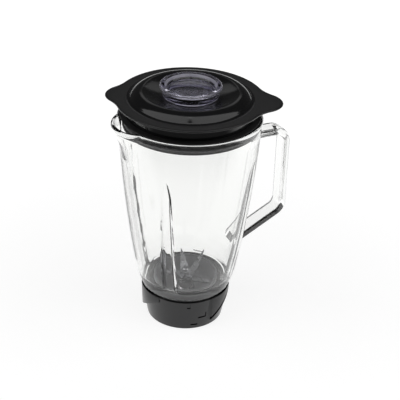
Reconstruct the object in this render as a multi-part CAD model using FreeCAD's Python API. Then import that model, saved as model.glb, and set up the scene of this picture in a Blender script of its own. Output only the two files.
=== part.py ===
import FreeCAD, Part
import math
import os

V = FreeCAD.Vector

# Jug assembly of a countertop blender. Millimetres, +Z up.
# Origin: centre of the collar's flat bottom ring. +X points to the handle, -X to the spout.

# Glass jug
WALL = 4.0              # glass thickness
NECK_R = 40.5           # neck that goes down inside the collar
BORE_R = 36.0           # hole through the neck, for the knife carrier
NECK_Z = 22.0           # lower end of the neck
SHOULDER_Z = 41.4       # underside of the foot, just above the collar
FOOT_R = 48.8
CORNER_R, CORNER_Z = 56.4, 70.0     # where the rounded foot meets the wall
BELLY_R, BELLY_Z = 67.9, 150.0      # a point half way up the curved wall
MOUTH_R, MOUTH_Z = 74.9, 236.0      # where the wall meets the rim bead
RIM_R, RIM_Z = 76.0, 243.0
MOUTH_BORE_R = 71.3
FLOOR_Z = 50.0          # inner floor
SPOUT_REACH = 87.0
SPOUT_Z = 200.0         # lowest point of the pouring spout
SPOUT_HALF_WIDTH = 29.0
RIB_TOP_Z = 190.0
LUG_Z, LUG_HEIGHT, LUG_R, LUG_ANGLE = 27.0, 3.0, 43.2, 30.0

# Glass strap handle
STRAP_WIDTH = 19.0
STRAP = 8.3             # strap thickness
GRIP_R = 117.5          # outer face of the vertical bar
HANDLE_TOP_Z = 210.4
HANDLE_BEND_Z = 106.9   # where the outer faces of the bar and the lower arm would meet
ARM_SLOPE = math.radians(27.4)

# Lid
LID_TOP_Z = 261.0       # top of the flat flange
FLANGE = 2.4            # flange thickness
FLANGE_R = 78.0
SKIRT_R = 67.5
SKIRT_Z = 233.0         # lower end of the skirt
CREST_R, CREST_Z = 49.8, 269.0
BOWL_Z = 263.8          # lip around the cap opening
OPENING_R = 27.3
EAR_R = 22.0
EAR_FILLET = 40.0
EARS = ((-30.0, 95.3), (150.0, 88.5))   # azimuth, reach from the axis
SEAL_R = 70.6
SEAL_Z = 231.0

# Measuring cap
CAP_TOP_Z = 276.0
CAP_RING_R = 32.0
CAP_BASE_R, CAP_BASE_Z = 28.6, 264.1
CAP_NECK_R = 26.8
CAP_NECK_Z = 236.0
CAP_RECESS_R = 23.0
CAP_DISC_Z = 271.2      # top of the sunk disc

# Collar
COLLAR_R = 41.8         # at the bottom
COLLAR_TOP_R, COLLAR_Z = 49.0, 41.0
SOCKET_R = 38.4         # opens downwards, over the boss of a motor base
SOCKET_DEPTH = 5.0
LEDGE_Z = 16.7          # carries the knife carrier's flange
WING_R = 47.4           # outer radius at the low end of a wing
WING_START = -82.0      # azimuth of the first wing's low end
WING_ANGLE = 51.0
WING_LOW_Z, WING_HIGH_Z = 7.5, 32.5

# Knife unit
CARRIER_R = 35.6        # bowl that closes the neck, outside
CARRIER_BOWL_R = 33.2   # and inside
CARRIER_Z, CARRIER_TOP_Z = 16.9, 49.4
CARRIER_FLANGE_R = 42.0
CARRIER_FLOOR = 3.0
CARRIER_FLOOR_Z = 28.0  # top of the bowl's floor
SHAFT_R = 4.0
SHAFT_TOP_Z = 51.0
GROOVE_Z = 14.05        # groove of the retaining ring
RUNNING = 0.04          # radial clearance of the shaft in its bushes
HOUSING_R = 9.0
HOUSING_Z, HOUSING_TOP_Z = 16.1, 31.6
BUSH_R = 6.5
SEAL_SEAT_Z = 29.2
HUB_R = 7.5
HUB_Z, HUB_TOP_Z = 32.4, 42.0
BLADE = 1.5             # blade thickness
BLADE_REACH = 32.0
KNIFE = (               # name, azimuth, bend angle from level
    ("lower_blade", -51.0, 2.0),
    ("middle_blade", 72.0, 40.0),
    ("upper_blade", 11.0, 48.0),
)
WASHER = 0.9
NUT_R = 6.6             # over the corners
NUT_HEIGHT = 3.6
COUPLING_R = 15.0
COUPLING_Z, COUPLING_TOP_Z = 5.5, 13.5
COUPLING_SOCKET = 5.0   # depth

UP = V(0, 0, 1)
BASE = V(0, 0, 0)


def outline(start, *steps):
    """Closed face in the XZ plane. A step is a point, or a pair (middle, end) for an arc."""
    first = V(start[0], 0, start[1])
    here = first
    edges = []
    for step in steps:
        if isinstance(step[0], tuple):
            middle = V(step[0][0], 0, step[0][1])
            end = V(step[1][0], 0, step[1][1])
            edges.append(Part.Arc(here, middle, end).toShape())
        else:
            end = V(step[0], 0, step[1])
            edges.append(Part.LineSegment(here, end).toShape())
        here = end
    edges.append(Part.LineSegment(here, first).toShape())
    return Part.Face(Part.Wire(edges))


def turned(start, *steps, angle=360.0, azimuth=0.0):
    solid = outline(start, *steps).revolve(BASE, UP, angle)
    solid.rotate(BASE, UP, azimuth)
    return solid


def ring(inner, outer, low, high, **sector):
    if inner == 0:
        return Part.makeCylinder(outer, high - low, V(0, 0, low))
    return turned((inner, low), (outer, low), (outer, high), (inner, high), **sector)


def prism(points, low, high):
    """Straight-sided solid over a closed plan of points."""
    corners = [V(x, y, low) for x, y in points]
    face = Part.Face(Part.makePolygon(corners + corners[:1]))
    return face.extrude(V(0, 0, high - low))


def polar(radius, azimuth, z=0.0):
    a = math.radians(azimuth)
    return V(radius * math.cos(a), radius * math.sin(a), z)


def copies(shape, azimuths):
    made = []
    for azimuth in azimuths:
        one = shape.copy()
        one.rotate(BASE, UP, azimuth)
        made.append(one)
    return made


def save(shape, node):
    shape = shape.removeSplitter()
    assert shape.isValid() and shape.Volume > 0, node
    shape.exportStep("parts/" + node + ".step")


def spout(margin):
    """Widening nose of the spout, smaller all round by margin."""
    nose = 9.0 - margin / 2
    sections = []
    for z, reach, half in ((SPOUT_Z, 71.0, 4.0), (RIM_Z, SPOUT_REACH, SPOUT_HALF_WIDTH)):
        tip = reach - margin
        side = max(half - margin, 0.8)
        radius = min(nose, side * 0.9)
        lean = math.asin(min((side - radius) / 30.0, 0.9))
        touch = V(-tip + radius - radius * math.sin(math.pi / 2 - lean), radius * math.cos(math.pi / 2 - lean), z)
        far = V(-tip + 34.0, side, z)
        edges = [
            Part.LineSegment(V(far.x, far.y, z), touch).toShape(),
            Part.Arc(touch, V(-tip, 0, z), V(touch.x, -touch.y, z)).toShape(),
            Part.LineSegment(V(touch.x, -touch.y, z), V(far.x, -far.y, z)).toShape(),
            Part.LineSegment(V(far.x, -far.y, z), V(far.x, far.y, z)).toShape(),
        ]
        sections.append(Part.Wire(edges))
    return Part.makeLoft(sections, True, True)


def jug_envelope():
    """The glass without its hollow."""
    body = turned(
        (0, SHOULDER_Z),
        (FOOT_R, SHOULDER_Z),
        ((53.0, 55.0), (CORNER_R, CORNER_Z)),
        ((BELLY_R, BELLY_Z), (MOUTH_R, MOUTH_Z)),
        ((RIM_R, RIM_Z - 3.2), (RIM_R - 2.0, RIM_Z)),
        (0, RIM_Z),
    )
    return body.fuse(spout(0.0))


def glass_jug(envelope):
    inner_wall = (BELLY_R - WALL, BELLY_Z)
    hollow = turned(
        (0, FLOOR_Z),
        (43.5, FLOOR_Z),
        ((46.6, 51.6), (48.6, 56.0)),
        (inner_wall, (MOUTH_BORE_R, MOUTH_Z - 10.0)),
        (MOUTH_BORE_R, RIM_Z - 1.0),
        (MOUTH_BORE_R + 1.0, RIM_Z),
        (MOUTH_BORE_R + 1.0, RIM_Z + 1.0),
        (0, RIM_Z + 1.0),
    )
    jug = envelope.cut(hollow)
    axis = V(19.5, 0, RIB_TOP_Z - FLOOR_Z)
    rib = Part.makeCone(8.0, 5.0, axis.Length, V(47.5, 0, FLOOR_Z), axis)
    rib = rib.fuse(Part.makeSphere(5.0, V(67.0, 0, RIB_TOP_Z)))
    rib = rib.common(envelope)
    rib = rib.cut(Part.makeCylinder(30.0, RIM_Z))
    for one in copies(rib, (45.0, 135.0, 225.0, 315.0)):
        jug = jug.fuse(one)
    jug = jug.cut(spout(WALL).cut(Part.makeCylinder(60.0, 300.0)))
    jug = jug.fuse(ring(BORE_R, NECK_R, NECK_Z, SHOULDER_Z + 1.0))
    jug = jug.cut(Part.makeCylinder(BORE_R, 60.0))
    lug = ring(NECK_R - 1.0, LUG_R, LUG_Z, LUG_Z + LUG_HEIGHT, angle=LUG_ANGLE)
    for one in copies(lug, (0.0, 120.0, 240.0)):
        jug = jug.fuse(one)
    return jug


def glass_handle(envelope):
    slope = math.tan(ARM_SLOPE)
    inner = GRIP_R - STRAP
    rise = STRAP / math.cos(ARM_SLOPE) - STRAP * slope
    bend_in = HANDLE_BEND_Z + rise
    root = 56.0
    points = [
        V(root, 0, HANDLE_TOP_Z),
        V(GRIP_R, 0, HANDLE_TOP_Z),
        V(GRIP_R, 0, HANDLE_BEND_Z),
        V(root, 0, HANDLE_BEND_Z - (GRIP_R - root) * slope),
        V(root, 0, bend_in - (inner - root) * slope),
        V(inner, 0, bend_in),
        V(inner, 0, HANDLE_TOP_Z - STRAP),
        V(root, 0, HANDLE_TOP_Z - STRAP),
    ]
    face = Part.Face(Part.makePolygon(points + points[:1]))
    strap = face.extrude(V(0, STRAP_WIDTH, 0))
    strap.translate(V(0, -STRAP_WIDTH / 2, 0))
    for corner, radius in ((points[1], 18.0), (points[2], 18.0), (points[5], 10.0), (points[6], 10.0)):
        edges = []
        for edge in strap.Edges:
            middle = edge.CenterOfMass
            if abs(middle.x - corner.x) < 0.01 and abs(middle.z - corner.z) < 0.01:
                edges.append(edge)
        strap = strap.makeFillet(radius, edges)
    return strap.cut(envelope)


def ear_plan(reach):
    """Flat ear in plan along +X: a round tip with a hollow fillet on each side."""
    centre = reach - EAR_R
    a = FLANGE_R + EAR_FILLET
    b = EAR_R + EAR_FILLET
    turn = math.acos((a * a + centre * centre - b * b) / (2 * a * centre))
    hub = V(a * math.cos(turn), a * math.sin(turn), 0)
    low = V(FLANGE_R * math.cos(turn), FLANGE_R * math.sin(turn), 0)
    towards = (V(centre, 0, 0) - hub).normalize()
    high = hub + towards * EAR_FILLET
    across = (low - hub).normalize()
    middle = hub + (towards + across).normalize() * EAR_FILLET
    tip = V(reach, 0, 0)

    def other(p):
        return V(p.x, -p.y, 0)

    edges = [
        Part.LineSegment(BASE, low).toShape(),
        Part.Arc(low, middle, high).toShape(),
        Part.Arc(high, tip, other(high)).toShape(),
        Part.Arc(other(high), other(middle), other(low)).toShape(),
        Part.LineSegment(other(low), BASE).toShape(),
    ]
    return Part.Face(Part.Wire(edges))


def lid_shell():
    flange_low = LID_TOP_Z - FLANGE
    shell = turned(
        (SKIRT_R - 2.5, SKIRT_Z),
        (SKIRT_R, SKIRT_Z),
        (SKIRT_R, flange_low),
        (FLANGE_R, flange_low),
        (FLANGE_R, LID_TOP_Z),
        (63.5, LID_TOP_Z),
        ((57.5, 266.4), (CREST_R, CREST_Z)),
        ((39.0, 265.4), (30.5, BOWL_Z)),
        (OPENING_R, BOWL_Z),
        (OPENING_R, 240.0),
        (OPENING_R + 2.2, 240.0),
        (OPENING_R + 2.2, BOWL_Z - 2.6),
        ((40.0, 263.0), (CREST_R, 266.2)),
        ((56.0, 263.6), (61.0, flange_low)),
        (SKIRT_R - 2.5, flange_low),
    )
    for azimuth, reach in EARS:
        ear = ear_plan(reach).extrude(V(0, 0, FLANGE))
        ear.translate(V(0, 0, flange_low))
        ear = ear.cut(Part.makeCylinder(FLANGE_R - 4.0, 300.0))
        ear.rotate(BASE, UP, azimuth)
        shell = shell.fuse(ear)
    return shell


def lid_seal():
    """Rubber band round the skirt, with two lips and a bead that sits on the glass rim."""
    return turned(
        (SKIRT_R, SEAL_Z),
        (SEAL_R - 0.8, SEAL_Z),
        (SEAL_R, SEAL_Z + 2.0),
        (SEAL_R - 0.8, SEAL_Z + 4.5),
        (SEAL_R - 0.8, SEAL_Z + 6.0),
        (SEAL_R, SEAL_Z + 8.0),
        (SEAL_R - 0.8, SEAL_Z + 10.0),
        (SEAL_R - 0.8, RIM_Z + 0.15),
        (SEAL_R + 3.0, RIM_Z + 0.15),
        (SEAL_R + 3.0, RIM_Z + 1.6),
        (SKIRT_R, RIM_Z + 2.4),
    )


def measuring_cap():
    """Clear cup, mouth down, with a wide ring for the fingers round a sunk disc."""
    cap = turned(
        (0, CAP_DISC_Z - 2.2),
        (CAP_NECK_R - 3.0, CAP_DISC_Z - 2.2),
        (CAP_NECK_R - 2.2, CAP_NECK_Z),
        (CAP_NECK_R, CAP_NECK_Z),
        (CAP_NECK_R, CAP_BASE_Z),
        (CAP_BASE_R, CAP_BASE_Z),
        (CAP_BASE_R + 0.4, CAP_BASE_Z + 1.2),
        (CAP_RING_R, CAP_TOP_Z - 2.8),
        ((CAP_RING_R + 0.2, CAP_TOP_Z - 0.6), (CAP_RING_R - 1.2, CAP_TOP_Z)),
        (CAP_RECESS_R + 2.6, CAP_TOP_Z),
        (CAP_RECESS_R, CAP_DISC_Z),
        (0, CAP_DISC_Z),
    )
    return cap


def below_wing(azimuth):
    """Block of space under the rising edge of a wing."""
    rise = WING_HIGH_Z - WING_LOW_Z
    run = 2 * COLLAR_TOP_R * math.sin(math.radians(WING_ANGLE / 2))
    block = Part.makeBox(60, 200, 60, V(20, -100, -60))
    block.rotate(BASE, V(1, 0, 0), math.degrees(math.atan2(rise, run)))
    block.translate(V(0, 0, (WING_LOW_Z + WING_HIGH_Z) / 2))
    block.rotate(BASE, UP, azimuth)
    return block


def wall_pocket(azimuth, width, low, high, depth=3.2):
    """Small window in the collar wall; width is along the wall."""
    pocket = Part.makeBox(depth * 2, width, high - low)
    middle = (low + high) / 2
    radius = COLLAR_R + (COLLAR_TOP_R - COLLAR_R) * middle / COLLAR_Z
    pocket.translate(V(radius - depth, -width / 2, low))
    pocket.rotate(BASE, UP, azimuth)
    return pocket


def base_collar():
    wall = 2.3
    collar = turned(
        (SOCKET_R, 0),
        (COLLAR_R, 0),
        (COLLAR_TOP_R, COLLAR_Z),
        (COLLAR_TOP_R - wall, COLLAR_Z),
        (42.5, LEDGE_Z),
        (CARRIER_R + 0.9, LEDGE_Z),
        (CARRIER_R + 0.9, LEDGE_Z - 3.0),
        (SOCKET_R, SOCKET_DEPTH),
    )
    wing = turned(
        (COLLAR_R - 1.0, 5.0),
        (WING_R, 5.0),
        (COLLAR_TOP_R, COLLAR_Z),
        (COLLAR_TOP_R - 2.0, COLLAR_Z),
        angle=WING_ANGLE,
    )
    wing = wing.cut(below_wing(WING_ANGLE / 2))
    inside = turned((0, 0), (COLLAR_R - 0.8, 0), (COLLAR_TOP_R - 0.8, COLLAR_Z), (0, COLLAR_Z))
    wing = wing.cut(inside)
    for one in copies(wing, [WING_START + 120.0 * k for k in range(3)]):
        collar = collar.fuse(one)
    hook_z = LUG_Z + LUG_HEIGHT + 0.1
    hook = ring(NECK_R + 0.5, 45.6, hook_z, hook_z + 3.0, angle=LUG_ANGLE)
    for one in copies(hook, (0.0, 120.0, 240.0)):
        collar = collar.fuse(one)
    collar = collar.cut(wall_pocket(-90.5, 7.0, 14.4, 16.4, depth=1.4))
    collar = collar.cut(wall_pocket(-86.6, 1.6, 14.4, 21.5, depth=1.4))
    collar = collar.cut(wall_pocket(-101.5, 6.6, 5.0, 7.0, depth=1.4))
    collar = collar.cut(wall_pocket(-109.0, 3.2, 30.0, 38.6, depth=0.8))
    return collar


def knife_carrier():
    """Bowl with a flange under the glass neck, and a boss round the bearing housing."""
    under = CARRIER_FLOOR_Z - CARRIER_FLOOR
    return turned(
        (CARRIER_BOWL_R, CARRIER_Z),
        (CARRIER_FLANGE_R, CARRIER_Z),
        (CARRIER_FLANGE_R, CARRIER_Z + 3.1),
        (CARRIER_R, CARRIER_Z + 3.1),
        (CARRIER_R, CARRIER_TOP_Z),
        (CARRIER_BOWL_R + 0.8, CARRIER_TOP_Z),
        (CARRIER_BOWL_R, CARRIER_TOP_Z - 0.8),
        (CARRIER_BOWL_R, CARRIER_FLOOR_Z + 3.0),
        ((CARRIER_BOWL_R - 0.9, CARRIER_FLOOR_Z + 0.9), (CARRIER_BOWL_R - 3.0, CARRIER_FLOOR_Z)),
        (HOUSING_R, CARRIER_FLOOR_Z),
        (HOUSING_R, HOUSING_Z + 0.9),
        (HOUSING_R + 3.5, HOUSING_Z + 0.9),
        (HOUSING_R + 5.0, under),
        (CARRIER_BOWL_R, under),
    )


def jug_seal():
    return ring(CARRIER_R + 0.2, CARRIER_FLANGE_R - 0.5, CARRIER_Z + 3.1, NECK_Z)


def bearing_housing():
    return turned(
        (BUSH_R, HOUSING_Z),
        (HOUSING_R, HOUSING_Z),
        (HOUSING_R, CARRIER_FLOOR_Z),
        (HOUSING_R + 2.2, CARRIER_FLOOR_Z),
        (HOUSING_R + 2.2, CARRIER_FLOOR_Z + 1.4),
        (HOUSING_R - 1.0, HOUSING_TOP_Z),
        (BUSH_R, HOUSING_TOP_Z),
    )


def shaft_seal():
    return turned(
        (SHAFT_R + 0.08, SEAL_SEAT_Z + 1.3),
        (SHAFT_R + 1.0, SEAL_SEAT_Z),
        (BUSH_R, SEAL_SEAT_Z),
        (BUSH_R, HOUSING_TOP_Z),
        (SHAFT_R + 0.08, HOUSING_TOP_Z),
    )


def knife_shaft():
    low = COUPLING_Z + COUPLING_SOCKET
    shaft = Part.makeCylinder(SHAFT_R, SHAFT_TOP_Z - low, V(0, 0, low))
    return shaft.cut(ring(SHAFT_R - 0.5, 6.0, GROOVE_Z, GROOVE_Z + 1.0))


def hub():
    """Spacer sleeve that carries the blades clear of the bearing."""
    return turned(
        (SHAFT_R, HUB_Z),
        (HUB_R + 1.2, HUB_Z),
        (HUB_R + 1.2, HUB_Z + 0.8),
        (HUB_R, HUB_Z + 1.6),
        (HUB_R, HUB_TOP_Z - 0.6),
        (HUB_R - 0.6, HUB_TOP_Z),
        (SHAFT_R, HUB_TOP_Z),
    )


def blade(low, bend):
    """Two bent wings on one strip with a round middle, the first wing along +X."""
    level = 9.0
    slope = math.tan(math.radians(bend))
    reach = level + (BLADE_REACH - level) * math.cos(math.radians(bend)) ** 0.5
    tip_z = low + (reach - level) * slope
    face = outline(
        (0, low),
        (level, low),
        (reach, tip_z),
        (reach, tip_z + BLADE),
        (level, low + BLADE),
        (0, low + BLADE),
    )
    wing = face.extrude(V(0, 20, 0))
    wing.translate(V(0, -10, 0))
    plan = prism(
        [(0, -4.6), (level, -4.6), (16, -6.2), (reach - 6, -5.6), (reach, 3.6), (reach - 8, 6.2), (16, 6.2),
         (level, 4.6), (0, 4.6)],
        low - 40, low + 60,
    )
    wing = wing.common(plan)
    strip = wing.fuse(copies(wing, (180.0,))[0])
    strip = strip.fuse(ring(0, HUB_R + 0.3, low, low + BLADE))
    return strip.cut(Part.makeCylinder(SHAFT_R, 200.0))


def dome_nut(low):
    corners = [polar(NUT_R, 60.0 * k) for k in range(6)]
    hexagon = prism([(c.x, c.y) for c in corners], low, low + NUT_HEIGHT)
    centre = low + NUT_HEIGHT - 1.0
    dome = Part.makeSphere(5.2, V(0, 0, centre))
    dome = dome.cut(Part.makeCylinder(NUT_R, centre))
    return hexagon.fuse(dome).cut(Part.makeCylinder(SHAFT_R, SHAFT_TOP_Z))


def drive_coupling():
    coupling = turned(
        (0, COUPLING_Z),
        (COUPLING_R, COUPLING_Z),
        (COUPLING_R, COUPLING_TOP_Z - 3.0),
        (COUPLING_R - 3.0, COUPLING_TOP_Z),
        (0, COUPLING_TOP_Z),
    )
    socket = Part.makeCylinder(8.4, COUPLING_SOCKET, V(0, 0, COUPLING_Z))
    for k in range(6):
        lobe = Part.makeCylinder(2.6, COUPLING_SOCKET, polar(9.4, 60.0 * k, COUPLING_Z))
        socket = socket.fuse(lobe)
    coupling = coupling.cut(socket)
    return coupling.cut(Part.makeCylinder(BUSH_R, 60.0))


def coupling_insert():
    return ring(SHAFT_R, BUSH_R, COUPLING_Z + COUPLING_SOCKET, COUPLING_TOP_Z + 0.4)


def retaining_ring():
    gap = Part.makeBox(10, 2.4, 2, V(2, -1.2, GROOVE_Z - 0.5))
    return ring(SHAFT_R - 0.48, 6.4, GROOVE_Z + 0.05, GROOVE_Z + 0.95).cut(gap)


def main():
    os.makedirs("parts", exist_ok=True)
    envelope = jug_envelope()
    save(glass_jug(envelope), "glass_jug")
    save(glass_handle(envelope), "glass_handle")
    save(lid_shell(), "lid_shell")
    save(lid_seal(), "lid_seal")
    save(measuring_cap(), "measuring_cap")
    save(base_collar(), "base_collar")
    save(knife_carrier(), "knife_carrier")
    save(jug_seal(), "jug_seal")
    save(bearing_housing(), "bearing_housing")
    save(ring(SHAFT_R + RUNNING, BUSH_R, SEAL_SEAT_Z - 5.2, SEAL_SEAT_Z), "upper_bush")
    save(ring(SHAFT_R + RUNNING, BUSH_R, HOUSING_Z, HOUSING_Z + 4.4), "lower_bush")
    save(shaft_seal(), "shaft_seal")
    save(knife_shaft(), "knife_shaft")
    save(hub(), "knife_hub")
    low = HUB_TOP_Z
    for node, azimuth, bend in KNIFE:
        save(copies(blade(low, bend), (azimuth,))[0], node)
        low += BLADE
    save(ring(SHAFT_R, 7.2, low, low + WASHER), "knife_washer")
    save(dome_nut(low + WASHER), "dome_nut")
    save(ring(SHAFT_R, 8.0, GROOVE_Z + 1.05, HOUSING_Z - 0.1), "thrust_washer")
    save(retaining_ring(), "retaining_ring")
    save(drive_coupling(), "drive_coupling")
    save(coupling_insert(), "coupling_insert")


main()
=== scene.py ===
import math

import bmesh
import bpy
from mathutils import Matrix, Quaternion, Vector


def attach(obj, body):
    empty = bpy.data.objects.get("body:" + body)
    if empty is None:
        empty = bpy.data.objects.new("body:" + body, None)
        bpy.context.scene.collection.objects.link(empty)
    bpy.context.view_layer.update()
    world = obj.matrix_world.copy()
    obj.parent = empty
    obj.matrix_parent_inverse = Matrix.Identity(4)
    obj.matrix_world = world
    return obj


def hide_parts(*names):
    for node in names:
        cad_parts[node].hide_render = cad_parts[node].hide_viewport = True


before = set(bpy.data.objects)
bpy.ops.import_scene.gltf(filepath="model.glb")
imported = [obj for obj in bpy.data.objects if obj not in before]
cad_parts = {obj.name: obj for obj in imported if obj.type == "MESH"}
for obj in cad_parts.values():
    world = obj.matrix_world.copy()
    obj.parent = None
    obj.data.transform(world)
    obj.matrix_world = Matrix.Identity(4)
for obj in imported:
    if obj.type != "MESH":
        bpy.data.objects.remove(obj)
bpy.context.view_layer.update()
MM = 0.001

# ---------------------------------------------------------------------------------------------
# Glass jug: pressed clear glass, cast in one with its strap handle, foot and pouring lip.
# The wall is turned, then the four inner ribs and the lip are pushed out of it; the handle
# is a bent bar joined to the wall.


class Signal:
    """A shader socket that can be used in sums."""

    def __init__(self, graph, socket):
        self.graph = graph
        self.socket = socket

    def maths(self, operation, *values):
        made = self.graph.node("ShaderNodeMath", {"operation": operation}, dict(enumerate(values)))
        return Signal(self.graph, made.outputs[0])

    def __add__(self, other):
        return self.maths("ADD", self, other)

    def __radd__(self, other):
        return self.maths("ADD", other, self)

    def __sub__(self, other):
        return self.maths("SUBTRACT", self, other)

    def __rsub__(self, other):
        return self.maths("SUBTRACT", other, self)

    def __mul__(self, other):
        return self.maths("MULTIPLY", self, other)

    def __rmul__(self, other):
        return self.maths("MULTIPLY", other, self)

    def step_up(self, low, high):
        """0 below low, 1 above high, smooth between."""
        made = self.graph.node(
            "ShaderNodeMapRange",
            {"interpolation_type": "SMOOTHSTEP"},
            {"Value": self, "From Min": low, "From Max": high, "To Min": 0.0, "To Max": 1.0},
        )
        return Signal(self.graph, made.outputs[0])


class Graph:
    """A node tree that is built from expressions."""

    def __init__(self, tree):
        self.tree = tree

    def plug(self, socket, value):
        if isinstance(value, Signal):
            value = value.socket
        if isinstance(value, bpy.types.NodeSocket):
            self.tree.links.new(value, socket)
        else:
            socket.default_value = value

    def node(self, kind, settings=None, sockets=None):
        made = self.tree.nodes.new(kind)
        for key, value in (settings or {}).items():
            setattr(made, key, value)
        for key, value in (sockets or {}).items():
            self.plug(made.inputs[key], value)
        return made

    def place(self, coordinates="Object"):
        """Coordinates as a vector socket: Object ones are in metres."""
        return self.node("ShaderNodeTexCoord").outputs[coordinates]

    def axes(self, coordinates="Object"):
        """The three parts of the coordinates, as values."""
        split = self.node("ShaderNodeSeparateXYZ", None, {0: self.place(coordinates)})
        return [Signal(self, split.outputs[k]) for k in range(3)]

    def radius(self):
        """Distance from the Z axis, in metres."""
        x, y, _ = self.axes()
        squared = x * x + y * y
        return squared.maths("SQRT", squared)

    def noise(self, scale, detail=3.0, stretch=(1.0, 1.0, 1.0)):
        """Cloudy pattern from 0 to 1."""
        spread = self.node("ShaderNodeMapping", None, {"Vector": self.place(), "Scale": stretch})
        made = self.node(
            "ShaderNodeTexNoise", None,
            {"Vector": spread.outputs[0], "Scale": scale, "Detail": detail, "Roughness": 0.55},
        )
        return Signal(self, made.outputs["Fac"])

    def mix(self, factor, low, high):
        """A colour between two, each of them three numbers or a socket."""
        ends = [(*end, 1.0) if isinstance(end, tuple) else end for end in (low, high)]
        made = self.node("ShaderNodeMix", {"data_type": "RGBA"}, {0: factor, 6: ends[0], 7: ends[1]})
        return made.outputs[2]


class Finish(Graph):
    """A material: a principled surface and the nodes that feed it."""

    def __init__(self, name, colour, roughness, **constants):
        self.material = bpy.data.materials.new(name)
        self.material.use_nodes = True
        super().__init__(self.material.node_tree)
        self.surface = self.tree.nodes["Principled BSDF"]
        self.set("Base Color", (*colour, 1.0))
        self.set("Roughness", roughness)
        for socket, value in constants.items():
            self.set(socket.replace("_", " "), value)
        self.material.diffuse_color = (*colour, 1.0)

    def set(self, socket, value):
        self.plug(self.surface.inputs[socket], value)

    def bump(self, height, distance, strength):
        made = self.node(
            "ShaderNodeBump", None, {"Height": height, "Distance": distance, "Strength": strength}
        )
        self.set("Normal", made.outputs[0])


def arc(start, middle, end, steps):
    """Points on the circle through three points, without the first."""
    a, b, c = Vector(start), Vector(middle), Vector(end)
    ab, bc = (a + b) / 2, (b + c) / 2
    u = Vector((-(b - a).y, (b - a).x))
    v = Vector((-(c - b).y, (c - b).x))
    t = ((bc - ab).x * v.y - (bc - ab).y * v.x) / (u.x * v.y - u.y * v.x)
    hub = ab + u * t
    first = math.atan2((a - hub).y, (a - hub).x)
    through = (math.atan2((b - hub).y, (b - hub).x) - first) % math.tau
    sweep = (math.atan2((c - hub).y, (c - hub).x) - first) % math.tau
    if through > sweep:
        sweep -= math.tau
    reach = (a - hub).length
    turns = [first + sweep * k / steps for k in range(1, steps + 1)]
    return [(hub.x + reach * math.cos(w), hub.y + reach * math.sin(w)) for w in turns]


def turned(profile, steps, closed=True):
    """Turns a profile of (radius, height) in millimetres about the Z axis."""
    bm = bmesh.new()
    line = [bm.verts.new((r * MM, 0, z * MM)) for r, z in profile]
    edges = [bm.edges.new(pair) for pair in zip(line, line[1:])]
    if closed:
        edges.append(bm.edges.new((line[-1], line[0])))
    bmesh.ops.spin(
        bm, geom=line + edges, cent=(0, 0, 0), axis=(0, 0, 1), angle=math.tau, steps=steps,
        use_merge=True,
    )
    bmesh.ops.remove_doubles(bm, verts=bm.verts, dist=0.005 * MM)
    bmesh.ops.recalc_face_normals(bm, faces=bm.faces)
    return bm


def placed(name, data):
    """Puts a new object into the scene."""
    made = bpy.data.objects.new(name, data)
    bpy.context.scene.collection.objects.link(made)
    return made


def piece(bm, name, finish, body, nodes, smooth=35.0):
    """Makes a visible piece: its faces turn sharp where they meet at more than smooth degrees."""
    bmesh.ops.recalc_face_normals(bm, faces=bm.faces)
    mesh = bpy.data.meshes.new(name)
    bm.to_mesh(mesh)
    bm.free()
    mesh.materials.append(finish.material)
    made = placed(name, mesh)
    mesh.polygons.foreach_set("use_smooth", [True] * len(mesh.polygons))
    mesh.set_sharp_from_angle(angle=math.radians(smooth))
    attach(made, body)
    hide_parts(*nodes)


def azimuth(place):
    """Direction from the Z axis in degrees: zero at the handle."""
    return math.degrees(math.atan2(place.y, place.x))


def axis_distance(v):
    """A mesh point's distance from the Z axis, in mm."""
    return math.hypot(v.co.x, v.co.y) / MM


def push_out(v, factor):
    """Makes a point's distance from the axis larger or smaller."""
    v.co.x *= factor
    v.co.y *= factor


def off(angle, centre):
    """Signed difference of two azimuths in degrees."""
    return (angle - centre + 180.0) % 360.0 - 180.0


RIB_AZIMUTHS = (45.0, 135.0, -135.0, -45.0)
RIB_LOW, RIB_HIGH = 50.0, 198.0
RIB_HALF_WIDTH, RIB_NARROWING = 8.4, 2.8
RIB_HEIGHT, RIB_FLATTENING = 4.2, 1.2
ROUNDED_END, LOWERED_END = 0.14, 0.3
SPOUT_LOW, SPOUT_HIGH, SPOUT_PUSH = 200.0, 243.0, 11.0
SPOUT_HALF_ANGLE, SPOUT_WIDENING = 9.0, 13.5


def rib_height(angle, z, radius):
    """How far a rib stands out of the inner wall, in mm."""
    along = (z - RIB_LOW) / (RIB_HIGH - RIB_LOW)
    left = 1.0 - along
    half_width = (RIB_HALF_WIDTH - RIB_NARROWING * along) * math.sqrt(min(1.0, left / ROUNDED_END))
    height = (RIB_HEIGHT - RIB_FLATTENING * along) * math.sqrt(min(1.0, left / LOWERED_END))
    for centre in RIB_AZIMUTHS:
        across = radius * math.radians(off(angle, centre)) / half_width
        if abs(across) < 1.0:
            return height * (1.0 - across ** 4) ** 1.5
    return 0.0


def spout_push(angle, z):
    """How far the pouring lip is drawn out of the wall, in mm."""
    rise = (z - SPOUT_LOW) / (SPOUT_HIGH - SPOUT_LOW)
    if rise <= 0.0:
        return 0.0
    side = off(angle, 180.0) / (SPOUT_HALF_ANGLE + SPOUT_WIDENING * rise ** 0.8)
    if abs(side) >= 1.0:
        return 0.0
    return SPOUT_PUSH * rise ** 1.5 * (1.0 - side * side)


def radius_at(line, z):
    """Radius of a line of (radius, height) points at a height."""
    for (r0, z0), (r1, z1) in zip(line, line[1:]):
        if min(z0, z1) <= z <= max(z0, z1) and z0 != z1:
            return r0 + (r1 - r0) * (z - z0) / (z1 - z0)
    return line[-1][0]


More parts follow.
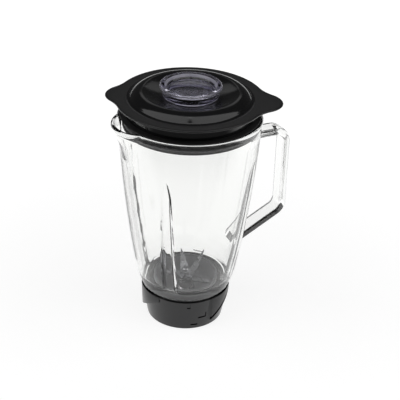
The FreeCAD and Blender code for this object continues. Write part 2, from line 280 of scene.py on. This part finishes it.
outside = arc((48.9, 42.6), (53.0, 55.0), (56.4, 70.0), 16)
outside += arc((56.4, 70.0), (67.9, 150.0), (74.9, 236.0), 60)
inside = arc((71.3, 226.0), (63.9, 150.0), (48.6, 56.0), 84)
inside += arc((48.6, 56.0), (45.6, 51.2), (40.5, 48.9), 10)
wall_profile = [(40.5, 22.0), (40.5, 30.0), (40.5, 41.4), (44.0, 41.4), (47.8, 41.4)]
wall_profile += arc((47.8, 41.4), (48.6, 41.8), (48.9, 42.6), 3)
wall_profile += outside
wall_profile += arc((74.9, 236.0), (76.1, 239.6), (74.4, 242.9), 10)
wall_profile += [(73.4, 243.0), (72.6, 242.9)]
wall_profile += arc((72.6, 242.9), (71.6, 242.4), (71.3, 241.2), 4)
wall_profile += [(71.3, 236.0), (71.3, 231.0)]
wall_profile += inside
wall_profile += [(38.0, 48.4), (36.5, 48.2), (36.0, 47.6), (36.0, 36.0), (36.0, 22.0)]
jug = turned(wall_profile, 360)
for v in jug.verts:
    r = axis_distance(v)
    z = v.co.z / MM
    push = spout_push(azimuth(v.co), z)
    if RIB_LOW + 0.3 < z < RIB_HIGH and r < (radius_at(outside, z) + radius_at(inside, z)) / 2:
        push -= rib_height(azimuth(v.co), z, r)
    push_out(v, (r + push) / r)

glass = Finish("jug_glass", (0.984, 0.988, 0.98), 0.0, IOR=1.5, Transmission_Weight=1.0)
glass.bump(glass.noise(28.0, 1.0), 0.25 * MM, 0.25)

GRIP, HANDLE_TOP, BEND = 117.5, 210.4, 106.9
STRAP, HALF_STRAP = 8.3, 9.5
STRAP_TILT = math.radians(27.4)
SLOPE = math.tan(STRAP_TILT)
OUTER_CORNER, INNER_CORNER, STRAP_EDGE = 18.0, 10.0, 2.6
ROOT_TOP, ROOT_LOW = 71.6, 56.3


def rounded(points, segments):
    """Outline with rounded corners. A point is (x, y, radius)."""
    made = []
    for k, (x, y, radius) in enumerate(points):
        here = Vector((x, y))
        if radius == 0:
            made.append(here)
            continue
        before = Vector(points[k - 1][:2]) - here
        after = Vector(points[(k + 1) % len(points)][:2]) - here
        half = before.angle(after) / 2
        cut = radius / math.tan(half)
        a = here + before.normalized() * cut
        b = here + after.normalized() * cut
        inward = (before.normalized() + after.normalized()).normalized()
        hub = here + inward * radius / math.sin(half)
        top = hub + (here - hub).normalized() * radius
        made.append(a)
        made += [Vector(p) for p in arc(a, top, b, segments)]
    return made


def plate(outline, axis_points, thickness):
    """A flat face through 3-D points, given thickness along a vector."""
    bm = bmesh.new()
    face = bm.faces.new([bm.verts.new(axis_points(p)) for p in outline])
    grown = bmesh.ops.extrude_face_region(bm, geom=[face])
    verts = [g for g in grown["geom"] if isinstance(g, bmesh.types.BMVert)]
    bmesh.ops.translate(bm, verts=verts, vec=thickness)
    bmesh.ops.recalc_face_normals(bm, faces=bm.faces)
    return bm


def bevelled(bm, edges, offset, segments):
    """Breaks edges by an offset in mm."""
    bmesh.ops.bevel(
        bm, geom=edges, offset=offset * MM, segments=segments, profile=0.5, affect="EDGES",
        material=-1, clamp_overlap=True,
    )


def runs_along(edge):
    """True for an edge along the strap: not across it, and not at either root."""
    a, b = [v.co for v in edge.verts]
    across = abs(a.y - b.y) > 1e-6
    at_root = abs(a.x - b.x) < 1e-6 and a.x < (ROOT_TOP + 1.4) * MM
    return not across and not at_root


inner_x = GRIP - STRAP
inner_bend = BEND + STRAP / math.cos(STRAP_TILT) - STRAP * SLOPE
strap_side = rounded(
    [
        (ROOT_TOP, HANDLE_TOP, 0),
        (GRIP, HANDLE_TOP, OUTER_CORNER),
        (GRIP, BEND, OUTER_CORNER),
        (ROOT_LOW, BEND - (GRIP - ROOT_LOW) * SLOPE, 0),
        (ROOT_LOW, inner_bend - (inner_x - ROOT_LOW) * SLOPE, 0),
        (inner_x, inner_bend, INNER_CORNER),
        (inner_x, HANDLE_TOP - STRAP, INNER_CORNER),
        (ROOT_TOP, HANDLE_TOP - STRAP, 0),
    ],
    12,
)
strap = plate(
    strap_side,
    lambda p: (p.x * MM, -HALF_STRAP * MM, p.y * MM),
    Vector((0, 2 * HALF_STRAP * MM, 0)),
)
bevelled(strap, [edge for edge in strap.edges if runs_along(edge)], STRAP_EDGE, 5)


def combined(bm, tool, operation):
    """Joins a second solid to the first, or cuts it away."""
    held = []
    for part in (bm, tool):
        mesh = bpy.data.meshes.new("held")
        part.to_mesh(mesh)
        part.free()
        held.append(placed("held", mesh))
    step = held[0].modifiers.new("step", "BOOLEAN")
    step.operation = operation
    step.solver = "EXACT"
    step.object = held[1]
    result = bmesh.new()
    result.from_mesh(held[0].evaluated_get(bpy.context.evaluated_depsgraph_get()).to_mesh())
    for one in held:
        mesh = one.data
        bpy.data.objects.remove(one)
        bpy.data.meshes.remove(mesh)
    return result


jug = combined(jug, strap, "UNION")
piece(jug, "jug_and_handle", glass, "jug", ("glass_jug", "glass_handle"), 40.0)

# ---------------------------------------------------------------------------------------------
# Lid: black moulded plastic. A flat satin flange with two finger ears, a polished crown that
# dips to the cap opening, and a skirt that goes into the mouth of the jug.
FLANGE_R, FLAT_R, SKIRT_TOP = 77.95, 68.0, 256.0
EAR_R, EAR_FILLET = 22.0, 40.0
EARS = ((-30.0, 95.3), (150.0, 88.5))


def ear_edge(angle):
    """Outer radius of the flange at an azimuth, in mm: round tip, hollow fillets, round flange."""
    for centre, reach in EARS:
        tip = reach - EAR_R
        hub = FLANGE_R + EAR_FILLET
        both = EAR_R + EAR_FILLET
        turn = math.acos((hub ** 2 + tip ** 2 - both ** 2) / (2 * hub * tip))
        touch = Vector((hub * math.cos(turn), hub * math.sin(turn)))
        touch += (Vector((tip, 0)) - touch).normalized() * EAR_FILLET
        d = abs(math.radians(off(angle, centre)))
        if d < math.atan2(touch.y, touch.x):
            return tip * math.cos(d) + math.sqrt(EAR_R ** 2 - (tip * math.sin(d)) ** 2)
        if d < turn:
            lean = turn - d
            return hub * math.cos(lean) - math.sqrt(EAR_FILLET ** 2 - (hub * math.sin(lean)) ** 2)
    return FLANGE_R


lid_profile = [(65.0, 233.4), (65.4, 233.0), (67.1, 233.0), (67.5, 233.4), (67.5, 257.8)]
lid_profile += arc((67.5, 257.8), (67.7, 258.4), (68.3, 258.6), 3)
lid_profile += [(70.0, 258.6), (73.0, 258.6), (77.2, 258.6)]
lid_profile += arc((77.2, 258.6), (77.9, 259.5), (76.9, 261.0), 8)
lid_profile += [(73.0, 261.0), (70.0, 261.0), (68.2, 261.0), (66.6, 261.0)]
lid_profile += arc((66.6, 261.0), (64.4, 261.4), (62.4, 262.5), 8)
lid_profile += arc((62.4, 262.5), (57.4, 266.8), (49.8, 269.0), 24)
lid_profile += arc((49.8, 269.0), (39.5, 265.6), (30.2, 263.9), 24)
lid_profile += [(28.0, 263.8)]
lid_profile += arc((28.0, 263.8), (27.5, 263.6), (27.3, 263.1), 3)
lid_profile += [(27.3, 240.4), (27.7, 240.0), (29.1, 240.0), (29.5, 240.4), (29.5, 261.0)]
lid_profile += arc((29.5, 261.0), (40.0, 262.9), (49.8, 266.2), 8)
lid_profile += arc((49.8, 266.2), (56.0, 264.2), (60.8, 258.6), 8)
lid_profile += [(62.0, 258.4), (65.0, 257.8)]
lid = turned(lid_profile, 300)
for v in lid.verts:
    r = axis_distance(v)
    if r > FLAT_R and v.co.z > SKIRT_TOP * MM:
        stretch = (ear_edge(azimuth(v.co)) - FLAT_R) / (FLANGE_R - FLAT_R)
        push_out(v, (FLAT_R + (r - FLAT_R) * stretch) / r)

lid_black = Finish("lid_black", (0.012, 0.012, 0.0125), 0.3, IOR=1.5)
lid_radius = lid_black.radius()
satin = lid_radius.step_up(65.6 * MM, 66.6 * MM) * lid_black.axes()[2].step_up(259.0 * MM, 260.0 * MM)
grain = lid_black.noise(1800.0, 2.0)
lid_black.set("Roughness", 0.11 + satin * 0.25 + lid_black.noise(60.0) * 0.03)
lid_black.bump(grain * satin, 0.04 * MM, 0.3)
piece(lid, "lid_cover", lid_black, "lid", ("lid_shell",), 35.0)

# ---------------------------------------------------------------------------------------------
# Lid band: black rubber, stretched round the skirt, with two soft lips that grip the glass
# and a bead that sits on the rim.
band_profile = [(67.5, 231.3), (67.9, 231.0), (69.4, 231.0)]
band_profile += arc((69.4, 231.0), (70.6, 232.8), (69.6, 234.8), 8)
band_profile += arc((69.6, 234.8), (69.3, 236.0), (69.6, 237.2), 5)
band_profile += arc((69.6, 237.2), (70.6, 239.0), (69.7, 240.8), 8)
band_profile += [(69.7, 243.15), (72.8, 243.15)]
band_profile += arc((72.8, 243.15), (73.5, 243.8), (72.8, 244.5), 6)
band_profile += [(69.0, 245.3), (67.5, 245.4)]
rubber = Finish("seal_rubber", (0.018, 0.018, 0.018), 0.5, IOR=1.45)
rubber.set("Roughness", 0.42 + rubber.noise(300.0) * 0.2)
rubber.bump(rubber.noise(1500.0), 0.03 * MM, 0.4)
piece(turned(band_profile, 240), "lid_band", rubber, "lid", ("lid_seal",), 40.0)

# ---------------------------------------------------------------------------------------------
# Measuring cap: moulded clear plastic cup with a faint violet tint, mouth down. A wide ring
# for the fingers surrounds a sunk disc; a lit milky white is mixed in as painted highlights on the
# ring's edges and at its foot.
cap_profile = [(0.0, 269.0), (20.0, 269.0), (23.4, 268.6), (24.0, 266.0), (24.6, 236.4), (24.9, 236.0)]
cap_profile += [(26.4, 236.0), (26.8, 236.4), (26.8, 264.1), (28.2, 264.1)]
cap_profile += arc((28.2, 264.1), (28.9, 264.5), (28.9, 265.4), 4)
cap_profile += [(29.6, 268.0), (31.2, 272.8)]
cap_profile += arc((31.2, 272.8), (32.2, 275.0), (30.6, 276.0), 8)
cap_profile += [(28.6, 276.0)]
cap_profile += arc((28.6, 276.0), (26.8, 275.4), (25.8, 274.0), 5)
cap_profile += [(23.6, 271.6)]
cap_profile += arc((23.6, 271.6), (23.2, 271.3), (22.6, 271.2), 3)
cap_profile += [(12.0, 270.9), (0.0, 270.7)]
cap = turned(cap_profile, 240, closed=False)
clear = Finish("cap_clear", (0.86, 0.84, 0.98), 0.02, IOR=1.5, Transmission_Weight=1.0)
clear.set("Roughness", 0.01 + clear.noise(40.0) * 0.03)
# Painted highlight: a lit milky white that stands in for the bright highlights on the cap's ring and
# foot.
milky_highlight = clear.node(
    "ShaderNodeBsdfPrincipled", None,
    {"Base Color": (0.82, 0.80, 0.95, 1.0), "Roughness": 0.2, "IOR": 1.5},
)
cap_z = clear.axes()[2]
cap_r = clear.radius()
# Painted highlight masks: where the milky white is mixed in, on the ring's inner and outer edges and in
# a line at the foot.
inner_edge = cap_r.step_up(24.2 * MM, 25.6 * MM) * (1 - cap_r.step_up(26.6 * MM, 27.6 * MM))
outer_edge = cap_r.step_up(29.6 * MM, 30.6 * MM) * cap_z.step_up(272.0 * MM, 273.5 * MM)
ring_highlight = (inner_edge * 0.4 + outer_edge * 0.2) * cap_z.step_up(270.0 * MM, 272.0 * MM)
above_foot = cap_z.step_up(264.8 * MM, 265.6 * MM)
foot_highlight = (1 - above_foot) * cap_z.step_up(262.0 * MM, 263.5 * MM) * 0.3
highlight_blend = clear.node(
    "ShaderNodeMixShader", None,
    {0: ring_highlight + foot_highlight, 1: clear.surface.outputs[0], 2: milky_highlight.outputs[0]},
)
clear.plug(clear.tree.nodes["Material Output"].inputs["Surface"], highlight_blend.outputs[0])
piece(cap, "measuring_cup", clear, "cap", ("measuring_cap",), 30.0)

# ---------------------------------------------------------------------------------------------
# Base collar: black moulded plastic, satin. A cone with three wings whose lower edges climb,
# to lock on a motor base, thin gaps behind the wings, and small hollows left by the mould.
COLLAR_LOW_R, COLLAR_TOP_R, COLLAR_TOP = 41.8, 49.0, 41.0


def collar_radius(z):
    """Outer radius of the cone at a height, in mm."""
    return COLLAR_LOW_R + (COLLAR_TOP_R - COLLAR_LOW_R) * z / COLLAR_TOP


collar_profile = [(38.4, 0.5), (38.9, 0.0), (41.2, 0.0), (41.8, 0.6)]
collar_profile += [(collar_radius(z), z) for z in (5.0, 7.0, 14.4, 16.4, 21.5, 30.0, 37.0, 38.1)]
collar_profile += [(48.1, 38.6), (46.9, 38.6), (46.9, 41.0), (46.6, 41.0), (42.5, 16.7)]
collar_profile += [(36.5, 16.7), (36.5, 13.7), (38.4, 5.0)]
collar = turned(collar_profile, 240)


def sunk(bm, patches, depth):
    """Pushes the outside in over patches of (first azimuth, last azimuth, low, high)."""
    faces = []
    for face in bm.faces:
        c = face.calc_center_median() / MM
        if math.hypot(c.x, c.y) < collar_radius(c.z) - 0.6:
            continue
        angle = azimuth(c)
        if any(first < angle < last and low < c.z < high for first, last, low, high in patches):
            faces.append(face)
    grown = bmesh.ops.extrude_face_region(bm, geom=faces)
    bmesh.ops.delete(bm, geom=faces, context="FACES")
    for v in grown["geom"]:
        if isinstance(v, bmesh.types.BMVert):
            r = axis_distance(v)
            push_out(v, (r - depth) / r)


sunk(collar, ((-96.0, -84.0, 14.4, 16.4), (-85.5, -84.0, 16.4, 21.5)), 1.6)
sunk(collar, ((-106.5, -96.0, 5.0, 7.0),), 1.6)
sunk(collar, ((-112.5, -108.0, 30.0, 37.0),), 0.9)

WING_START, WING_SWEEP, WING_RISE = -82.0, 51.0, 4.5
WING_LOW, WING_HIGH = 7.5, 32.5
GAP_LOW, GAP_HIGH, GAP_START = 0.9, 4.3, 3.0
WING_MIDDLE = math.radians(WING_SWEEP / 2)
OUTWARD = Vector((math.cos(WING_MIDDLE), math.sin(WING_MIDDLE), 0))
ALONG = Vector((-math.sin(WING_MIDDLE), math.cos(WING_MIDDLE), 0))


def sector(section, sweep):
    """A section of (radius, height) turned through part of a circle, from azimuth zero."""
    bm = bmesh.new()
    line = [bm.verts.new((r * MM, 0, z * MM)) for r, z in section]
    face = bm.faces.new(line)
    bmesh.ops.spin(
        bm, geom=[face] + list(face.edges) + line, cent=(0, 0, 0), axis=(0, 0, 1),
        angle=math.radians(sweep), steps=34, use_merge=False,
    )
    bmesh.ops.recalc_face_normals(bm, faces=bm.faces)
    return bm


def everything(bm):
    """All points, edges and faces, as the cutting operator takes them."""
    return list(bm.verts) + list(bm.edges) + list(bm.faces)


def keep_side(bm, lift, above):
    """Cuts along a wing's climbing lower edge, raised by lift, and keeps one side."""
    run = 2 * COLLAR_TOP_R * math.sin(WING_MIDDLE)
    rising = (ALONG * run + Vector((0, 0, WING_HIGH - WING_LOW))).normalized()
    up = OUTWARD.cross(rising)
    centre = OUTWARD * COLLAR_TOP_R * MM + Vector((0, 0, ((WING_LOW + WING_HIGH) / 2 + lift) * MM))
    cut = bmesh.ops.bisect_plane(
        bm, geom=everything(bm), plane_co=centre, plane_no=-up if above else up, clear_outer=True
    )
    rim = [g for g in cut["geom_cut"] if isinstance(g, bmesh.types.BMEdge)]
    bmesh.ops.holes_fill(bm, edges=rim, sides=0)
    bmesh.ops.recalc_face_normals(bm, faces=bm.faces)


def spun(bm, degrees):
    """Turns a mesh about the Z axis."""
    turning = Matrix.Rotation(math.radians(degrees), 3, "Z")
    bmesh.ops.rotate(bm, verts=bm.verts, cent=(0, 0, 0), matrix=turning)
    return bm


def ease(t):
    """0 to 1 with soft ends."""
    t = min(max(t, 0.0), 1.0)
    return t * t * (3.0 - 2.0 * t)


def wing(start):
    """One wing, rising out of the cone at its start and cut along its climbing edge."""
    section = [(collar_radius(5.0) - 0.8, 5.0), (47.4, 5.0), (48.9, 38.2), (48.4, 38.6), (46.9, 38.6)]
    bm = sector(section, WING_SWEEP)
    for v in bm.verts:
        r = axis_distance(v)
        cone = min(r, collar_radius(v.co.z / MM))
        push_out(v, (cone + (r - cone) * ease(azimuth(v.co) / WING_RISE)) / r)
    keep_side(bm, 0.0, True)
    shared = [edge for edge in bm.edges if len(edge.link_faces) == 2]
    bevelled(bm, [edge for edge in shared if edge.calc_face_angle() > math.radians(40)], 0.35, 2)
    return spun(bm, start)


def slit(start):
    """Bar that leaves a thin shadow gap along a wing's climbing edge."""
    bm = sector([(40.0, 2.0), (52.0, 2.0), (52.0, 37.2), (40.0, 37.2)], WING_SWEEP - 4.0)
    keep_side(spun(bm, GAP_START), GAP_HIGH, False)
    keep_side(bm, GAP_LOW, True)
    return spun(bm, start)


def slot(start):
    """Bar that leaves an upright gap near a wing's start."""
    return spun(sector([(43.5, 9.0), (52.0, 9.0), (52.0, 37.6), (43.5, 37.6)], 2.6), start + 4.6)


def add(bm, other):
    """Puts a second mesh into the first."""
    held = bpy.data.meshes.new("held")
    other.to_mesh(held)
    other.free()
    bm.from_mesh(held)
    bpy.data.meshes.remove(held)


collar_black = Finish("collar_black", (0.012, 0.012, 0.013), 0.3, IOR=1.46)
collar_black.set("Roughness", 0.17 + collar_black.noise(120.0) * 0.08)
wings = bmesh.new()
for turn in (WING_START, WING_START + 120.0):
    collar = combined(collar, slit(turn), "DIFFERENCE")
    add(wings, combined(wing(turn), slit(turn), "DIFFERENCE"))
last_wing = WING_START + 240.0
add(wings, combined(wing(last_wing), slot(last_wing), "DIFFERENCE"))
add(collar, wings)
piece(collar, "collar_ring", collar_black, "collar", ("base_collar",), 30.0)

# ---------------------------------------------------------------------------------------------
# Knife carrier: grey moulded bowl that closes the neck, clamped on its rubber ring by the
# collar, with a boss for the bearing.
carrier_profile = [(9.0, 17.0), (12.5, 17.0), (14.0, 25.0), (33.2, 25.0), (33.2, 16.9), (42.0, 16.9)]
carrier_profile += [(42.0, 20.0), (35.6, 20.0), (35.6, 49.0), (35.3, 49.4), (33.5, 49.4)]
carrier_profile += [(33.2, 49.1), (33.2, 40.0), (33.2, 31.2)]
carrier_profile += arc((33.2, 31.2), (32.2, 29.0), (30.0, 28.0), 6)
carrier_profile += [(20.0, 28.0), (12.0, 28.0), (9.0, 28.0)]
BOWL_GREY, RIM_GREY = (0.52, 0.52, 0.54), (0.34, 0.34, 0.36)
carrier_grey = Finish("carrier_grey", BOWL_GREY, 0.4, IOR=1.5)
carrier_grey.set("Roughness", 0.32 + carrier_grey.noise(150.0) * 0.15)
near_rim = carrier_grey.axes()[2].step_up(47.0 * MM, 49.2 * MM)
carrier_grey.set("Base Color", carrier_grey.mix(near_rim, BOWL_GREY, RIM_GREY))
carrier_grey.bump(carrier_grey.noise(1600.0), 0.03 * MM, 0.3)
bowl = turned(carrier_profile, 180)
piece(bowl, "carrier_bowl", carrier_grey, "jug", ("knife_carrier",))

# ---------------------------------------------------------------------------------------------
# Knife: ground stainless steel. A sleeve carries three two-winged blades, held down by a
# washer and a dome nut.
BLADE_T, GRIND = 1.5, 1.1
LEVEL, REACH = 9.0, 32.0
HUB_TOP, WASHER = 42.0, 0.9
NUT_R, NUT_HEIGHT = 6.6, 3.6
BEND_CUTS = (8.4, 9.0, 9.6, 11.0, 16.0)
steel = Finish("knife_steel", (0.45, 0.45, 0.47), 0.28, Metallic=1.0)
scratch = steel.noise(900.0, 3.0, (1.0, 0.12, 1.0))
steel.set("Roughness", 0.2 + scratch * 0.18)
steel.bump(scratch, 0.01 * MM, 0.3)
hub_profile = [(4.0, 32.4), (8.4, 32.4), (8.7, 32.7), (8.7, 33.2), (7.5, 34.0), (7.5, 38.4)]
hub_profile += [(7.1, 38.7), (7.5, 39.0), (7.5, 41.4), (6.9, HUB_TOP), (4.0, HUB_TOP)]
hub_steel = Finish("hub_steel", (0.62, 0.60, 0.61), 0.2, Metallic=1.0)
hub_steel.set("Roughness", 0.14 + hub_steel.noise(600.0, 2.0, (1.0, 1.0, 8.0)) * 0.15)
piece(turned(hub_profile, 96), "hub_sleeve", hub_steel, "knife", ("knife_hub",))


def blade_half(reach):
    """Outline of one wing of a blade, rounded, from the middle to the tip and back."""
    half_plan = [
        (0.0, -7.4, 0.0),
        (LEVEL - 3.0, -6.6, 0.0),
        (LEVEL + 1.0, -4.6, 2.0),
        (14.0, -4.2, 5.0),
        (reach - 7.0, -1.4, 6.0),
        (reach, 2.2, 0.3),
        (reach - 8.0, 3.6, 6.0),
        (14.0, 4.2, 5.0),
        (LEVEL + 1.0, 4.6, 2.0),
        (LEVEL - 3.0, 6.6, 0.0),
        (0.0, 7.4, 0.0),
    ]
    return rounded(half_plan, 4)[1:-1]


def flat_plate(outline, low, thickness):
    """A level plate that starts at a height."""
    return plate(outline, lambda p: (p.x * MM, p.y * MM, low * MM), Vector((0, 0, thickness * MM)))


def is_ground(edge, low):
    """True for an outer edge of the upper face, past the level middle of the blade."""
    upper = all(v.co.z > (low + 1.0) * MM and abs(v.co.x) > 14.0 * MM for v in edge.verts)
    return upper and len(edge.link_faces) == 2 and edge.calc_face_angle() > 1.0


def blade(low, bend):
    """Two-winged blade, cut from plate, ground at its edges and bent up by degrees."""
    tilt = math.radians(bend)
    wing_plan = blade_half(LEVEL + (REACH - LEVEL) * math.sqrt(math.cos(tilt)))
    bm = flat_plate(wing_plan + [-p for p in wing_plan], low, BLADE_T)
    for cut_x in [-x for x in reversed(BEND_CUTS)] + list(BEND_CUTS):
        bmesh.ops.bisect_plane(bm, geom=everything(bm), plane_co=(cut_x * MM, 0, 0), plane_no=(1, 0, 0))
    bevelled(bm, [edge for edge in bm.edges if is_ground(edge, low)], GRIND, 1)
    for v in bm.verts:
        beyond = max(abs(v.co.x) - LEVEL * MM, 0.0)
        v.co.z += beyond * math.tan(tilt)
    return bm


low = HUB_TOP
for name, turn, bend in (
    ("lower_blade", -51.0, 2.0), ("middle_blade", 72.0, 40.0), ("upper_blade", 11.0, 48.0),
):
    piece(spun(blade(low, bend), turn), name + "_ground", steel, "knife", (name,), 20.0)
    low += BLADE_T

nut_low = low + WASHER
corners = [(NUT_R * math.cos(k * math.pi / 3), NUT_R * math.sin(k * math.pi / 3), 0.3) for k in range(6)]
nut = flat_plate(rounded(corners, 2), nut_low, NUT_HEIGHT)
dome_profile = [(5.5, nut_low + 3.5), (5.1, nut_low + 3.8)]
dome_profile += arc((5.1, nut_low + 3.8), (3.7, nut_low + 6.5), (0.0, nut_low + 7.8), 8)
add(nut, turned(dome_profile, 48, closed=False))
piece(nut, "dome_cap_nut", steel, "knife", ("dome_nut",))

# ---------------------------------------------------------------------------------------------
# Inner parts, seldom seen: shaft, bushes, washers, seals and coupling. They keep their plain
# shapes and get the rubber, steel, bronze or black plastic that they are made of.
bronze = Finish("bush_bronze", (0.55, 0.36, 0.16), 0.35, Metallic=1.0)
bronze.set("Roughness", 0.3 + bronze.noise(700.0) * 0.15)
coupling_black = Finish("coupling_black", (0.03, 0.03, 0.03), 0.5, IOR=1.5)
coupling_black.set("Roughness", 0.45 + coupling_black.noise(300.0) * 0.15)
coupling_black.bump(coupling_black.noise(1200.0), 0.04 * MM, 0.4)
for node, finish in (
    ("jug_seal", rubber), ("shaft_seal", rubber), ("bearing_housing", steel), ("upper_bush", bronze),
    ("lower_bush", bronze), ("knife_shaft", steel), ("knife_washer", steel), ("thrust_washer", steel),
    ("retaining_ring", steel), ("drive_coupling", coupling_black), ("coupling_insert", bronze),
):
    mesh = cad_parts[node].data
    mesh.materials.clear()
    mesh.materials.append(finish.material)

# ---------------------------------------------------------------------------------------------
# Studio: pale floor that glows round and behind the jug and is dimmed on its front side, a
# surround that is darker above and in front, a soft box at each side and a faint one behind.
FRONT, BOX_DISTANCE = -116.0, 1.7


def around(azimuth_off, elevation, distance, height):
    """A point at a distance from the axis at a height. Azimuth zero is the front."""
    a = math.radians(FRONT + azimuth_off)
    e = math.radians(elevation)
    flat = distance * math.cos(e)
    return Vector((flat * math.cos(a), flat * math.sin(a), height + distance * math.sin(e)))


def soft_box(name, azimuth_off, elevation, width, height, power, roll):
    """An oblong lamp that looks at the jug, turned about its own line of sight by roll."""
    data = bpy.data.lights.new(name, "AREA")
    data.shape = "RECTANGLE"
    data.size = width
    data.size_y = height
    data.energy = power
    lamp = placed(name, data)
    lamp.location = around(azimuth_off, elevation, BOX_DISTANCE, 0.13)
    aim = (Vector((0, 0, 0.15)) - lamp.location).to_track_quat("-Z", "Y")
    lamp.rotation_mode = "QUATERNION"
    lamp.rotation_quaternion = aim @ Quaternion((0, 0, 1), math.radians(roll))


soft_box("box_left", -68.0, 56.0, 1.5, 2.0, 12.0, -34.0)
soft_box("box_right", 68.0, 56.0, 1.5, 2.0, 12.0, 34.0)
soft_box("box_back", 180.0, 37.0, 0.9, 0.4, 0.45, 0.0)

floor_mesh = bmesh.new()
bmesh.ops.create_grid(floor_mesh, x_segments=1, y_segments=1, size=6.0)
floor_data = bpy.data.meshes.new("floor")
floor_mesh.to_mesh(floor_data)
floor_mesh.free()
floor = placed("floor", floor_data)


def ahead(graph, coordinates):
    """How far a place or a direction is towards the front."""
    x, y, _ = graph.axes(coordinates)
    return x * math.cos(math.radians(FRONT)) + y * math.sin(math.radians(FRONT))


pale = Finish("pale_floor", (0.3, 0.3, 0.3), 0.9, Emission_Strength=1.0)
shade = pale.radius().step_up(0.29, 0.42) * ahead(pale, "Object").step_up(0.0, 0.22)
glow = pale.mix(pale.radius().step_up(0.15, 0.9), (0.84, 0.84, 0.84), (1.02, 1.02, 1.02))
pale.set("Emission Color", pale.mix(shade, glow, (0.08, 0.08, 0.08)))
pale.set("Base Color", pale.mix(shade, (0.3, 0.3, 0.3), (0.1, 0.1, 0.1)))
floor_data.materials.append(pale.material)

world = bpy.data.worlds.new("studio")
bpy.context.scene.world = world
world.use_nodes = True
sky = Graph(world.node_tree)
above = 0.9 - 0.76 * sky.axes("Generated")[2].step_up(0.0, 0.7)
in_front = ahead(sky, "Generated").step_up(0.35, 0.75)
sky.plug(sky.tree.nodes["Background"].inputs["Strength"], above * (1 - 0.88 * in_front))

# ---------------------------------------------------------------------------------------------
# Camera: a long lens, 30 degrees above the jug, in front of it.
DISTANCE, ELEVATION, ROLL = 1.328, 30.08, 1.68
LENS, PAN, TILT = 110.88, 0.58131, 0.25578
AIM_HEIGHT = 0.1328
lens = bpy.data.cameras.new("camera")
lens.sensor_width = 36.0
lens.lens = LENS
camera = placed("camera", lens)
camera.location = around(0.0, ELEVATION, DISTANCE, AIM_HEIGHT)
aim = (Vector((0, 0, AIM_HEIGHT)) - camera.location).to_track_quat("-Z", "Y")
for axis, degrees in (((0, 0, 1), ROLL), ((0, 1, 0), -PAN), ((1, 0, 0), TILT)):
    aim = aim @ Quaternion(axis, math.radians(degrees))
camera.rotation_mode = "QUATERNION"
camera.rotation_quaternion = aim
bpy.context.scene.camera = camera
bpy.context.scene.view_settings.view_transform = "Standard"
